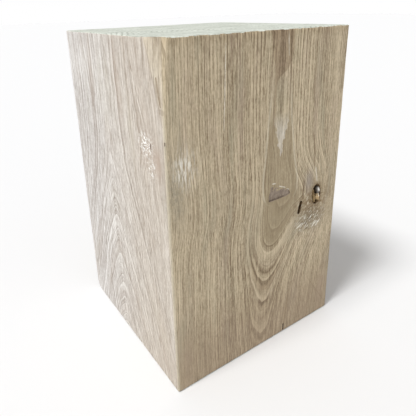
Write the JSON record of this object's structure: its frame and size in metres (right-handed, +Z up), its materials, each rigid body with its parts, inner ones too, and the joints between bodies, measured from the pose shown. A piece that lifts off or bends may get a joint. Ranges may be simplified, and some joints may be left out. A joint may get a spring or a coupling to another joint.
{
  "type": "wooden block",
  "caption": "Tall square-sawn solid oak block that stands on end as a plinth, stool or side table, with a knot hole, checks and a little wane.",
  "frame": {"origin": "centre of the base, on the surface that the block stands on", "axes": "+Z up along the grain, the face with the knot hole looks along -Y, +X to the right of that face"},
  "size_m": [0.255, 0.25, 0.4],
  "materials": {
    "oak": "raw sawn oak, dry and matt, with no oil or lacquer"
  },
  "bodies": {
    "root": {"oak_block": "oak"}
  },
  "joints": []
}
